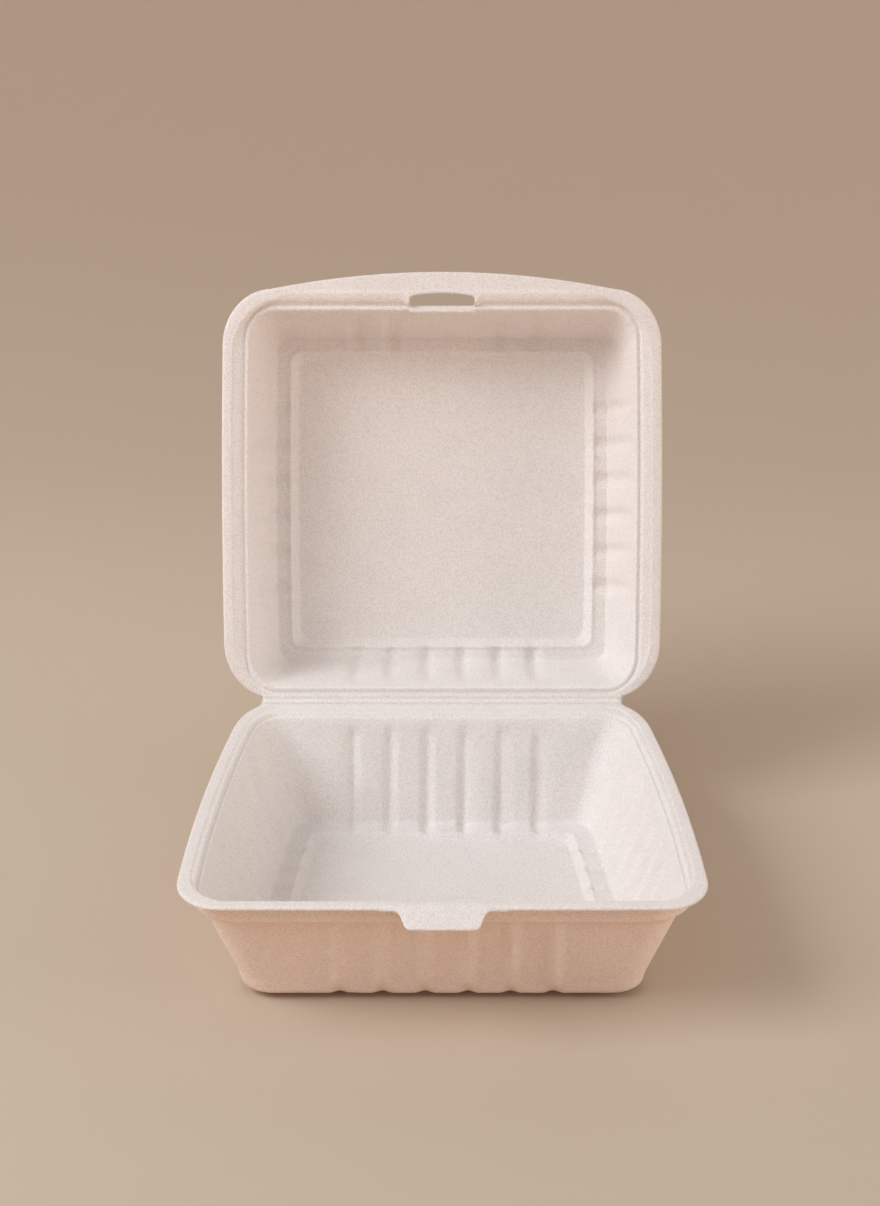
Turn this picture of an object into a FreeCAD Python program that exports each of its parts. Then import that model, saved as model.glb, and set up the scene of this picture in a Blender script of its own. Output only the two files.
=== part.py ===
# Foam clamshell container: a ribbed square base tray and a shallower ribbed lid,
# both thermoformed in one sheet of expanded polystyrene and folded at a hinge crease.
# The lid stands open. Its front lip has a slot that takes the tongue of the base.
import FreeCAD, Part
import math
import os
import Sketcher

# Driving dimensions in millimetres, angles in degrees.
SIZES = [
    # The fold and the two rims that meet when the box is shut.
    ("tray_length", 142.6, "hinge line to the straight front edge of each rim"),
    ("hinge_length", 124.0, "length of the hinge bead"),
    ("bead_radius", 0.9, "radius of the bead between the two creases"),
    ("crease_gap", 0.4, "free width of each crease beside the bead"),
    ("neck_thickness", 0.55, "foam left under the crease on the base side"),
    ("mating_gap", 0.3, "space between the two rims when the box is shut"),
    ("lid_open_angle", 110.0, "turn of the lid from shut to its standing pose"),
    ("rim_thickness", 1.6, "pressed thickness of the rims"),
    ("rim_edge_height", 2.4, "height of the rolled outer edge of a rim"),
    ("rim_edge_width", 1.4, "width of the rolled outer edge of a rim"),
    ("rim_crown", 0.6, "rounding of the outer edge of a rim"),
    ("rim_corner", 13.0, "corner radius of the rims seen from above"),
    ("shoulder_drop", 4.6, "depth of the upright band inside a rim"),
    ("shoulder_step", 1.4, "width of the small step under that band"),
    ("shoulder_corner", 11.0, "corner radius of that band"),
    ("floor_corner", 6.5, "corner radius where the walls meet the ledge"),
    ("panel_corner", 4.0, "corner radius of the sunk middle panel"),
    ("corner_bevel", 1.4, "rounding between the walls and the ledge"),
    ("wall_share", 0.72, "level thickness of a sloping wall as a share of its sheet"),
    # The flutes pressed into the walls.
    ("rib_count", 6, "flutes on a full side"),
    ("rib_pitch", 12.7, "distance between flutes"),
    ("rib_width", 4.4, "width of a flute seen from inside"),
    ("rib_flank", 1.0, "extra width of a flute on each side seen from outside"),
    ("rib_rise", 1.0, "depth of a flute"),
    ("rib_corner", 3.4, "rounding at the foot of a flute"),
    # The base tray.
    ("base_height", 41.0, "resting face to the top of the rim"),
    ("base_sheet", 2.5, "foam thickness of the base"),
    ("base_hinge_half", 72.2, "half width of the base at the hinge"),
    ("base_front_half", 76.8, "half width of the base at the front"),
    ("base_side_rim", 6.2, "rim width at the sides"),
    ("base_front_rim", 6.2, "rim width at the front"),
    ("base_hinge_rim", 7.6, "hinge line to the band inside the rim"),
    ("base_side_run", 11.6, "how far a side wall leans in"),
    ("base_front_run", 11.0, "how far the front wall leans in"),
    ("base_hinge_run", 10.2, "how far the hinge wall leans in"),
    ("base_ledge", 7.4, "width of the ledge round the floor panel"),
    ("base_step_run", 2.6, "width of the slope from ledge to panel"),
    ("base_step_drop", 2.0, "height of the ledge over the panel"),
    # The lid.
    ("lid_height", 32.4, "rim to the outside of the top panel"),
    ("lid_sheet", 1.7, "foam thickness of the lid"),
    ("lid_hinge_half", 75.2, "half width of the lid at the hinge"),
    ("lid_front_half", 75.6, "half width of the lid at the front"),
    ("lid_side_rim", 6.4, "rim width at the sides"),
    ("lid_front_rim", 7.2, "rim width at the front"),
    ("lid_hinge_rim", 4.8, "hinge line to the band inside the rim"),
    ("lid_side_run", 8.7, "how far a side wall leans in"),
    ("lid_front_run", 5.2, "how far the front wall leans in"),
    ("lid_hinge_run", 6.3, "how far the hinge wall leans in"),
    ("lid_ledge", 4.9, "width of the ledge round the top panel"),
    ("lid_step_run", 3.2, "width of the slope from ledge to panel"),
    ("lid_step_drop", 2.0, "height of the ledge over the panel"),
    # The closure.
    ("tongue_root", 26.4, "width of the tongue at the base rim"),
    ("tongue_tip", 19.8, "width of the tongue at its tip"),
    ("tongue_length", 8.8, "length of the tongue along its slope"),
    ("tongue_slope", 30.0, "angle of the tongue below the rim"),
    ("tongue_corner", 2.4, "corner cut at the tip of the tongue"),
    ("tongue_seat", 1.0, "length of the tongue that runs into the rim"),
    ("lip_length", 119.4, "chord of the bowed lip on the lid"),
    ("lip_bulge", 5.9, "how far the lip bows past the straight edge"),
    ("slot_length", 22.8, "length of the slot inside the lip"),
    ("slot_width", 5.2, "width of the slot"),
    ("slot_web", 0.4, "foam left between the slot and the upright band"),
]

document = FreeCAD.newDocument("FoamClamshell")
sheet = document.addObject("Spreadsheet::Sheet", "Sizes")
for row, (alias, number, meaning) in enumerate(SIZES, start=1):
    sheet.set(f"A{row}", meaning)
    sheet.set(f"B{row}", str(number))
    sheet.setAlias(f"B{row}", alias)
document.recompute()


def size(alias):
    """Expression that reads one cell of the sheet."""
    return f"Sizes.{alias}"


def value(expression):
    """The number that an expression gives now."""
    result = sheet.evalExpression(str(expression))
    return float(getattr(result, "Value", result))


def plus(*terms):
    """Expression for a sum."""
    return "(" + " + ".join(str(term) for term in terms) + ")"


def minus(first, *others):
    """Expression for a difference."""
    return "(" + " - ".join(str(term) for term in (first, *others)) + ")"


def times(factor, expression):
    """Expression for a product."""
    return f"({factor} * {expression})"


# Sketches on the planes of a body.

def origin_part(body, role):
    return next(item for item in body.Origin.OriginFeatures if item.Role == role)


def new_sketch(body, name, role, offset="0"):
    sketch = body.newObject("Sketcher::SketchObject", name)
    sketch.AttachmentSupport = [(origin_part(body, role), "")]
    sketch.MapMode = "FlatFace"
    sketch.setExpression("AttachmentOffset.Base.z", str(offset))
    return sketch


def turn_sketch(sketch, axis, angle):
    """Turn a sketch about an axis of its own plane by a bound angle."""
    place = sketch.AttachmentOffset.Base
    sketch.AttachmentOffset = FreeCAD.Placement(place, FreeCAD.Rotation(axis, value(angle)))
    sketch.setExpression("AttachmentOffset.Rotation.Angle", str(angle))


def bind(sketch, constraint, expression):
    """Add a constraint whose size is bound to the sheet."""
    number = sketch.addConstraint(constraint)
    sketch.setExpression(f"Constraints[{number}]", str(expression))


def place_point(sketch, geometry, point, across, up):
    """Fix a sketch point at two bound distances from the origin."""
    bind(sketch, Sketcher.Constraint("DistanceX", -1, 1, geometry, point, value(across)), across)
    bind(sketch, Sketcher.Constraint("DistanceY", -1, 1, geometry, point, value(up)), up)


def polygon(sketch, points):
    """A closed outline through points given as pairs of expressions."""
    numbers = [FreeCAD.Vector(value(across), value(up), 0) for across, up in points]
    count = len(points)
    for index, start in enumerate(numbers):
        sketch.addGeometry(Part.LineSegment(start, numbers[(index + 1) % count]))
    for index in range(count):
        sketch.addConstraint(Sketcher.Constraint("Coincident", index, 2, (index + 1) % count, 1))
    for index, (across, up) in enumerate(points):
        place_point(sketch, index, 1, across, up)
    return sketch


def rounded_outline(sketch, level):
    """A tray outline: straight sides that may taper, joined by four tangent arcs."""
    corners = []
    for side, half, edge, inward in (
        (1, level["hinge_half"], level["hinge_edge"], -1),
        (-1, level["hinge_half"], level["hinge_edge"], -1),
        (-1, level["front_half"], level["front_edge"], 1),
        (1, level["front_half"], level["front_edge"], 1),
    ):
        across = times(side, minus(half, level["radius"]))
        up = plus(edge, times(inward, level["radius"]))
        corners.append((across, up))
    radius = value(level["radius"])
    centres = [FreeCAD.Vector(value(across), value(up), 0) for across, up in corners]
    facing = []
    for index, centre in enumerate(centres):
        along = centres[(index + 1) % 4] - centre
        facing.append(math.atan2(-along.x, along.y))
    for index, centre in enumerate(centres):
        start = facing[index - 1]
        end = start + (facing[index] - start) % (2 * math.pi)
        circle = Part.Circle(centre, FreeCAD.Vector(0, 0, 1), radius)
        sketch.addGeometry(Part.ArcOfCircle(circle, start, end))
        reach = FreeCAD.Vector(math.cos(end), math.sin(end), 0) * radius
        following = centres[(index + 1) % 4]
        sketch.addGeometry(Part.LineSegment(centre + reach, following + reach))
    for index, (across, up) in enumerate(corners):
        arc = 2 * index
        sketch.addConstraint(Sketcher.Constraint("Tangent", arc, 2, arc + 1, 1))
        sketch.addConstraint(Sketcher.Constraint("Tangent", arc + 1, 2, (arc + 2) % 8, 1))
        place_point(sketch, arc, 3, across, up)
        bind(sketch, Sketcher.Constraint("Radius", arc, radius), level["radius"])
    return sketch


# Features that join their sketches to a body.

def loft(body, name, kind, stages):
    """A ruled loft through outlines, each a pair of height and level."""
    sketches = []
    for number, (height, level) in enumerate(stages):
        sketch = new_sketch(body, f"{name}Stage{number}", "XY_Plane", height)
        sketches.append(rounded_outline(sketch, level))
    feature = body.newObject(f"PartDesign::{kind}Loft", name)
    feature.Profile = sketches[0]
    feature.Sections = sketches[1:]
    feature.Ruled = True
    feature.Refine = False
    return feature


def extrude(body, name, kind, sketch, length, both_ways=True, reverse=False):
    """A pad or a pocket of a sketch."""
    feature = body.newObject(f"PartDesign::{kind}", name)
    feature.Profile = sketch
    feature.setExpression("Length", str(length))
    feature.SideType = "Symmetric" if both_ways else "One side"
    feature.Reversed = reverse
    feature.Refine = False
    return feature


def repeat(body, name, feature, sketch, count):
    """Copies of a feature along the normal of its sketch, one flute pitch apart."""
    pattern = body.newObject("PartDesign::LinearPattern", name)
    pattern.Originals = [feature]
    pattern.Direction = (sketch, ["N_Axis"])
    pattern.Mode = "Spacing"
    pattern.Refine = False
    pattern.setExpression("Offset", size("rib_pitch"))
    pattern.setExpression("Occurrences", str(count))
    body.Tip = pattern
    return pattern


class Tray:
    """One half of the box, drawn shut: the hinge axis is the local X axis, the tray
    reaches to -Y, and its cavity deepens along Z by sign (-1 base, +1 lid)."""

    def __init__(self, name, label, sign):
        self.name = name
        self.sign = sign
        self.body = document.addObject("PartDesign::Body", label)
        self.body.Label = label

    def own(self, alias):
        return size(f"{self.name}_{alias}")

    def depth(self, *terms):
        """Local height of a plane some way below the face of the rim."""
        return times(self.sign, plus(*terms, "Sizes.mating_gap / 2"))

    def inset(self, face, stage, back="0"):
        """Distance inward from the edge of the rim, less what the foam takes up."""
        terms = [self.own(f"{face}_rim")]
        if stage != "band":
            terms.append(size("shoulder_step"))
        if stage in ("wall_foot", "ledge", "panel"):
            terms.append(self.own(f"{face}_run"))
        if stage in ("ledge", "panel"):
            terms.append(self.own("ledge"))
        if stage == "panel":
            terms.append(self.own("step_run"))
        return minus(plus(*terms), back)

    def level(self, side, hinge, front, radius):
        return {
            "hinge_half": minus(self.own("hinge_half"), side),
            "front_half": minus(self.own("front_half"), side),
            "hinge_edge": times(-1, hinge),
            "front_edge": minus(front, size("tray_length")),
            "radius": radius,
        }

    def stage(self, stage, radius, back="0"):
        faces = [self.inset(face, stage, back) for face in ("side", "hinge", "front")]
        return self.level(*faces, radius)

    def rim(self):
        """The flat rim with its crowned edge, rolled down all round."""
        start = plus(size("bead_radius"), size("crease_gap"))

        def edge(inset):
            return self.level(inset, plus(start, inset), inset, size("rim_corner"))

        roll = size("rim_edge_height")
        loft(self.body, f"{self.name}Rim", "Additive", [
            (self.depth("0"), edge(size("rim_crown"))),
            (self.depth(size("rim_crown")), edge("0")),
            (self.depth(roll), edge("0")),
        ])
        under = edge(size("rim_edge_width"))
        loft(self.body, f"{self.name}RimUnderside", "Subtractive", [
            (self.depth(size("rim_thickness")), under),
            (self.depth(roll, size("rim_thickness")), under),
        ])

    def outside(self):
        """The outer faces of the band, the walls, the ledge and the panel."""
        foam = self.own("sheet")
        wall_back = times(size("wall_share"), foam)
        drop = size("shoulder_drop")
        band = self.stage("band", size("shoulder_corner"), foam)
        loft(self.body, f"{self.name}Band", "Additive", [
            (self.depth(size("rim_crown")), band),
            (self.depth(drop, foam), band),
        ])
        ledge = minus(self.own("height"), self.own("step_drop"))
        wall_top = self.stage("wall_top", size("shoulder_corner"), wall_back)
        bevel = size("corner_bevel")
        loft(self.body, f"{self.name}Wall", "Additive", [
            (self.depth(drop), wall_top),
            (self.depth(drop, foam), wall_top),
            (self.depth(minus(ledge, bevel)),
             self.stage("wall_foot", size("floor_corner"), wall_back)),
            (self.depth(ledge),
             self.stage("wall_foot", size("floor_corner"), minus(wall_back, bevel))),
        ])
        half_foam = times(0.5, foam)
        ledge_edge = self.stage("ledge", size("panel_corner"), half_foam)
        loft(self.body, f"{self.name}Panel", "Additive", [
            (self.depth(minus(ledge, half_foam)), ledge_edge),
            (self.depth(ledge), ledge_edge),
            (self.depth(self.own("height")),
             self.stage("panel", size("panel_corner"), half_foam)),
        ])

    def inside(self):
        """The cavity: the band, the walls, the ledge and the sunk panel."""
        foam = self.own("sheet")
        drop = size("shoulder_drop")
        band = self.stage("band", size("shoulder_corner"))
        loft(self.body, f"{self.name}BandCavity", "Subtractive", [
            (self.depth(times(-1, size("rim_thickness"))), band),
            (self.depth(drop), band),
        ])
        ledge = minus(self.own("height"), foam, self.own("step_drop"))
        wall_top = self.stage("wall_top", size("shoulder_corner"))
        bevel = size("corner_bevel")
        loft(self.body, f"{self.name}WallCavity", "Subtractive", [
            (self.depth(times(0.5, drop)), wall_top),
            (self.depth(drop), wall_top),
            (self.depth(minus(ledge, bevel)), self.stage("wall_foot", size("floor_corner"))),
            (self.depth(ledge), self.stage("wall_foot", size("floor_corner"), times(-1, bevel))),
        ])
        ledge_edge = self.stage("ledge", size("panel_corner"))
        loft(self.body, f"{self.name}PanelCavity", "Subtractive", [
            (self.depth(minus(ledge, foam)), ledge_edge),
            (self.depth(ledge), ledge_edge),
            (self.depth(minus(self.own("height"), foam)), self.stage("panel", size("panel_corner"))),
        ])

    def flute_profile(self, face, outer):
        """Corners of a flute seen along the wall, as pairs of inset and depth."""
        foam = self.own("sheet")
        if outer:
            back = times(size("wall_share"), foam)
            top = plus(size("shoulder_drop"), foam)
            above = plus(size("shoulder_drop"), times(0.5, foam))
            bottom = self.own("height")
            inner = self.inset(face, "ledge", times(0.5, foam))
        else:
            back = "0"
            top = size("shoulder_drop")
            above = times(0.5, size("shoulder_drop"))
            bottom = minus(self.own("height"), foam)
            inner = self.inset(face, "panel")
        corner = size("rib_corner")
        crest_top = self.inset(face, "wall_top", plus(back, size("rib_rise")))
        crest_foot = self.inset(face, "wall_foot", plus(back, size("rib_rise")))
        toe = self.inset(face, "wall_foot", minus(back, corner))
        knee = minus(bottom, self.own("step_drop"), corner)
        return [
            (crest_top, above),
            (crest_top, top),
            (crest_foot, knee),
            (toe, bottom),
            (inner, bottom),
            (inner, above),
        ]

    def flutes(self, outer):
        """Ridges on the outside of each wall, or channels on its inside."""
        kind = "Pad" if outer else "Pocket"
        mark = "Ridges" if outer else "Channels"
        width = size("rib_width")
        if outer:
            width = plus(width, times(2, size("rib_flank")))
        half_row = f"((Sizes.rib_count - 1) / 2 * {size('rib_pitch')})"
        full = size("rib_count")
        # The lid has no flutes behind its slot, so its front row comes in two parts.
        if self.sign > 0:
            skip = f"(({full} - 2) / 2)"
            past = f"(({skip} + 2) * {size('rib_pitch')} - {half_row})"
            rows = [
                ("hinge", times(-1, half_row), full),
                ("front", times(-1, half_row), skip),
                ("front", past, skip),
            ]
        else:
            rows = [("hinge", times(-1, half_row), full), ("front", times(-1, half_row), full)]
        for number, (face, first, count) in enumerate(rows):
            name = f"{self.name}{mark}{number}"
            sketch = new_sketch(self.body, f"{name}Profile", "YZ_Plane", first)
            points = []
            for inset, depth in self.flute_profile(face, outer):
                along = times(-1, inset) if face == "hinge" else minus(inset, size("tray_length"))
                points.append((along, self.depth(depth)))
            polygon(sketch, points)
            repeat(self.body, name, extrude(self.body, f"{name}First", kind, sketch, width),
                   sketch, count)
        taper = f"atan({minus(self.own('front_half'), self.own('hinge_half'))} / Sizes.tray_length)"
        from_hinge = minus(times(0.5, size("tray_length")), half_row)
        half = plus(self.own("hinge_half"), times(f"tan({taper})", from_hinge))
        place = plus(from_hinge, times(f"sin({taper})", half))
        for side, word in ((1, "Right"), (-1, "Left")):
            name = f"{self.name}{mark}{word}"
            sketch = new_sketch(self.body, f"{name}Profile", "XZ_Plane", place)
            turn_sketch(sketch, FreeCAD.Vector(0, 1, 0), times(side, taper))
            points = []
            for inset, depth in self.flute_profile("side", outer):
                points.append((times(side, minus(half, inset)), self.depth(depth)))
            polygon(sketch, points)
            repeat(self.body, name, extrude(self.body, f"{name}First", kind, sketch, width),
                   sketch, full)

    def form(self):
        """Build the half from outside to inside."""
        self.rim()
        self.outside()
        self.flutes(outer=True)
        self.inside()
        self.flutes(outer=False)


def hinge_bead(tray):
    """The bead between the two creases, held to the base rim by a thin neck."""
    radius = size("bead_radius")
    start = times(-1, plus(radius, size("crease_gap"), times(0.5, size("rim_edge_width"))))
    low = times(-1, radius)
    high = plus(low, size("neck_thickness"))
    neck = new_sketch(tray.body, "NeckProfile", "YZ_Plane")
    polygon(neck, [(start, low), ("0", low), ("0", high), (start, high)])
    extrude(tray.body, "Neck", "Pad", neck, size("hinge_length"))
    circle = new_sketch(tray.body, "BeadProfile", "YZ_Plane")
    circle.addGeometry(Part.Circle(FreeCAD.Vector(), FreeCAD.Vector(0, 0, 1), value(radius)))
    circle.addConstraint(Sketcher.Constraint("Coincident", 0, 3, -1, 1))
    bind(circle, Sketcher.Constraint("Radius", 0, value(radius)), radius)
    extrude(tray.body, "Bead", "Pad", circle, size("hinge_length"))


def tongue(tray):
    """The tongue slopes down from the front rim and narrows to its tip."""
    root = times(0.5, size("tongue_root"))
    tip = times(0.5, size("tongue_tip"))
    corner = size("tongue_corner")
    length = size("tongue_length")
    outline = new_sketch(tray.body, "TongueOutline", "XY_Plane", tray.depth(size("rim_crown")))
    outline.setExpression("AttachmentOffset.Base.y", times(-1, size("tray_length")))
    turn_sketch(outline, FreeCAD.Vector(1, 0, 0), size("tongue_slope"))
    polygon(outline, [
        (root, size("tongue_seat")),
        (times(-1, root), size("tongue_seat")),
        (times(-1, root), "0"),
        (times(-1, tip), minus(corner, length)),
        (minus(corner, tip), times(-1, length)),
        (minus(tip, corner), times(-1, length)),
        (tip, minus(corner, length)),
        (root, "0"),
    ])
    extrude(tray.body, "Tongue", "Pad", outline, size("rim_thickness"),
            both_ways=False, reverse=True)


def lip(tray):
    """The bowed lip that runs past the straight front edge of the lid."""
    half = times(0.5, size("lip_length"))
    chord = minus(size("rim_edge_width"), size("tray_length"))
    bow = plus(size("lip_bulge"), size("rim_edge_width"))
    radius = f"(({half} * {half} + {bow} * {bow}) / (2 * {bow}))"
    outline = new_sketch(tray.body, "LipOutline", "XY_Plane", tray.depth("0"))
    middle = value(chord) - value(bow) + value(radius)
    left = math.atan2(value(chord) - middle, -value(half))
    right = math.atan2(value(chord) - middle, value(half))
    circle = Part.Circle(FreeCAD.Vector(0, middle, 0), FreeCAD.Vector(0, 0, 1), value(radius))
    outline.addGeometry(Part.ArcOfCircle(circle, left, right))
    ends = [FreeCAD.Vector(side * value(half), value(chord), 0) for side in (1, -1)]
    outline.addGeometry(Part.LineSegment(*ends))
    outline.addConstraint(Sketcher.Constraint("Coincident", 0, 2, 1, 1))
    outline.addConstraint(Sketcher.Constraint("Coincident", 1, 2, 0, 1))
    place_point(outline, 1, 1, half, chord)
    place_point(outline, 1, 2, times(-1, half), chord)
    bind(outline, Sketcher.Constraint("Radius", 0, value(radius)), radius)
    extrude(tray.body, "Lip", "Pad", outline, size("rim_thickness"), both_ways=False)


def slot(tray):
    """The slot between the lip and the band, which takes the tongue."""
    half = times(0.5, size("slot_length"))
    near = minus(tray.own("front_rim"), tray.own("sheet"), size("slot_web"), size("tray_length"))
    far = minus(near, size("slot_width"))
    outline = new_sketch(tray.body, "SlotOutline", "XY_Plane")
    polygon(outline, [
        (half, near),
        (times(-1, half), near),
        (times(-1, half), far),
        (half, far),
    ])
    extrude(tray.body, "Slot", "Pocket", outline, times(4, size("rim_edge_height")))


def stand(tray, turn=None):
    """Put a half in its place, with the middle of the resting face at the origin."""
    body = tray.body
    if turn:
        axis = FreeCAD.Vector(1, 0, 0)
        body.Placement = FreeCAD.Placement(FreeCAD.Vector(), FreeCAD.Rotation(axis, value(turn)))
        body.setExpression("Placement.Rotation.Angle", turn)
    body.setExpression("Placement.Base.y", times(0.5, size("tray_length")))
    body.setExpression("Placement.Base.z", "Sizes.base_height + Sizes.mating_gap / 2")


base = Tray("base", "base_tray", -1)
base.form()
hinge_bead(base)
tongue(base)
stand(base)

lid = Tray("lid", "lid", 1)
lid.form()
lip(lid)
slot(lid)
stand(lid, turn=times(-1, size("lid_open_angle")))

document.recompute()

for item in document.Objects:
    if "Invalid" in item.State or "Error" in item.State:
        raise RuntimeError(f"{item.Label} could not be built: {item.State}")

os.makedirs("parts", exist_ok=True)
for tray in (base, lid):
    shape = tray.body.Shape
    if shape.isNull() or not shape.isValid() or len(shape.Solids) != 1:
        raise RuntimeError(f"{tray.body.Label} is not one valid solid")
    shape.exportStep(f"parts/{tray.body.Label}.step")
    box = shape.BoundBox
    centre = shape.Solids[0].CenterOfMass
    print(f"{tray.body.Label}: {shape.Volume / 1000:.1f} cm3,",
          f"{box.XLength:.1f} x {box.YLength:.1f} x {box.ZLength:.1f} mm,",
          f"centre of mass y {centre.y:.1f}, z {centre.z:.1f}")
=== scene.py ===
# %% [markdown]
# # A foam clamshell food box
#
# The real object is one sheet of expanded polystyrene foam, heated and pressed
# between two moulds, then folded once. The base and the lid are therefore the same
# kind of form: a flat rim, a small groove and bead inside it, fluted walls, a ledge
# and a sunk panel. This lesson builds both halves with one recipe, and then the fold
# between them.

# %% Start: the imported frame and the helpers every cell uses
import math

import bmesh
import bpy
import numpy as np
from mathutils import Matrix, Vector


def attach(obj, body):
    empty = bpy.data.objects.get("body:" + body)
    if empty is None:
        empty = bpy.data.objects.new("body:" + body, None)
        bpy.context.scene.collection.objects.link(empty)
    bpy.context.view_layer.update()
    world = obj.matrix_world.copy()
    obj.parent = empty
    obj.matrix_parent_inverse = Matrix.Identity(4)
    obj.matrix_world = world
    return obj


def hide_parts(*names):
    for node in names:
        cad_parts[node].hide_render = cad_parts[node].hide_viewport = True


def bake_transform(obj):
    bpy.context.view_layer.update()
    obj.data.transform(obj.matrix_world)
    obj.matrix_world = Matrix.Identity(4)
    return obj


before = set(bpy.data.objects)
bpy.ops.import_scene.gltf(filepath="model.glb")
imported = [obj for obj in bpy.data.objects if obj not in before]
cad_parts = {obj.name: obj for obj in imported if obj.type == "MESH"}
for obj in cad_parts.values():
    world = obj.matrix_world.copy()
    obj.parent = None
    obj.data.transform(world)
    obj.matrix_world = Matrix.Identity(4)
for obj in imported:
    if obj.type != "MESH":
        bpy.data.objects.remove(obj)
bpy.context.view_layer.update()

# %% [markdown]
# ## Sizes
#
# All sizes are millimetres, as a maker would write them, and become metres only
# where a mesh is made. A point of either half is told by three numbers: x across the
# box, v away from the hinge, and d down from the face of the rim into the tray.

# %% Sizes shared by both halves
MM = 0.001
HINGE_Y, HINGE_Z = 71.3, 41.15     # the hinge axis runs along X through this point
BASE_RIM_Z = 41.0                  # the rim of the base above the table
LEAN = math.radians(20)            # how far the open lid leans back from upright
NOMINAL_HALF = 76.0                # half width that the outlines are drawn for
LENGTH = 142.6                     # hinge axis to the front edge of the rim
MIDDLE = 71.3                      # the flutes of the side walls are centred here
PITCH = 12.7                       # from flute to flute
FLUTE_COUNT = 6
FLUTE_SHIFT = 1.2                  # how far right the flutes of front and back walls sit
ROLL_EXTRA = 7                     # rings that stretch into the tongue or the lip
ROLL_WIDTH = 2.4                   # width of the rolled outer edge of a rim
REACH_INSET = 2.9                  # where the stretching rings start
NO_FLUTE = 1000.0                  # stored for a point that no flute reaches


def smooth(t):
    """Eases from 0 to 1 with level ends."""
    t = np.clip(t, 0.0, 1.0)
    return t * t * (3 - 2 * t)


# %% [markdown]
# ## The cross section
#
# A knot is one corner of the cross section. It gives inset and depth for the side,
# front and hinge faces, because the walls don't slope alike, then the corner radii of
# its outline, how far it follows the tongue or lip, and how a flute pushes it out and
# down. Corners are softened with small Bezier bends, as pressed foam has no sharp
# edge. One routine bends all the numbers of a knot together.

# %% A knot, and the softened run of rings through the knots
KNOT = ("side", "side_d", "front", "front_d", "hinge", "hinge_d", "front_rx",
        "front_ry", "rear_rx", "rear_ry", "reach", "out", "down")


def knot(side, front, hinge, radii, soft, reach=0.0, out=0.0, down=0.0):
    """radii is one corner radius, or the front rx, front ry, rear rx and rear ry."""
    corners = radii if isinstance(radii, tuple) else (radii,) * 4
    values = [*side, *front, *hinge, *corners, reach, out, down]
    return np.array(values, float), soft


def soften(knots, longest=3.6, bends=4):
    """Rings through the knots: each corner becomes a bend, each long run is divided."""
    rings = [knots[0][0]]
    for i in range(1, len(knots)):
        before, here = knots[i - 1][0], knots[i][0]
        run = here - before
        length = max(np.hypot(run[0], run[1]), np.hypot(run[2], run[3]), 1e-6)
        soft = knots[i][1]
        last = i == len(knots) - 1
        if last or soft <= 0:
            bend = [here]
        else:
            after = knots[i + 1][0]
            onward = after - here
            ahead = max(np.hypot(onward[0], onward[1]), 1e-6)
            start = here - run * min(soft / length, 0.48)
            end = here + onward * min(soft / ahead, 0.48)
            bend = []
            for k in range(bends + 1):
                t = k / bends
                bend.append((1 - t) ** 2 * start + 2 * t * (1 - t) * here + t * t * end)
        gap = bend[0] - rings[-1]
        steps = max(1, int(math.ceil(np.hypot(gap[0], gap[1]) / longest)))
        for k in range(1, steps):
            rings.append(rings[-1] + gap / steps)
        rings.extend(bend)
    return np.array(rings)


# %% [markdown]
# ## The outline of one ring
#
# Each ring is a rounded rectangle with the same number of points, so that the next
# ring joins it in clean quads. A subdivided box would need far more points for the
# same flutes. Here they lie close together where flutes, tongue and slot need them,
# and further apart elsewhere.

# %% Where the points of a straight side lie
FINE_END = 36.0                    # past this the points lie further apart
FLUTE_MIDDLES = (6.35, 19.05, 31.75)   # half a pitch from the middle, then one by one
FLUTE_REACH = 4.2                  # how far the close points run to each side of one
LEAST_GAP = 0.18                   # points closer than this are left out


def marks(extra=()):
    """Positions along a side from its middle: close together across each flute."""
    found = [0.0]
    for centre in FLUTE_MIDDLES:
        found.extend(centre + step for step in np.linspace(-FLUTE_REACH, FLUTE_REACH, 14))
    found.extend([3.0, FINE_END])
    found.extend(extra)
    found = sorted(set(round(p, 3) for p in found if p <= FINE_END))
    kept = [found[0]]
    for p in found[1:]:
        if p - kept[-1] > LEAST_GAP:
            kept.append(p)
    return np.array([-p for p in reversed(kept[1:])] + kept)


PLAIN_MARKS = marks()
FRONT_MARKS = marks(np.arange(7.4, 14.9, 0.3))   # more points for the tongue's sides
END_STEPS = 7                      # from the fine points to the corner
CORNER_STEPS = 14
print("points along a side:", len(PLAIN_MARKS), "and along the front:", len(FRONT_MARKS))


def along_side(low, high, wanted):
    """The wanted positions, squeezed if the side is short, and steps to both ends."""
    squeeze = min(1.0, (high - 0.6) / FINE_END, (-low - 0.6) / FINE_END)
    inner = wanted * squeeze
    left = np.linspace(low, inner[0], END_STEPS + 1)[:-1]
    right = np.linspace(inner[-1], high, END_STEPS + 1)[1:]
    return np.concatenate([left, inner, right])


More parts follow.
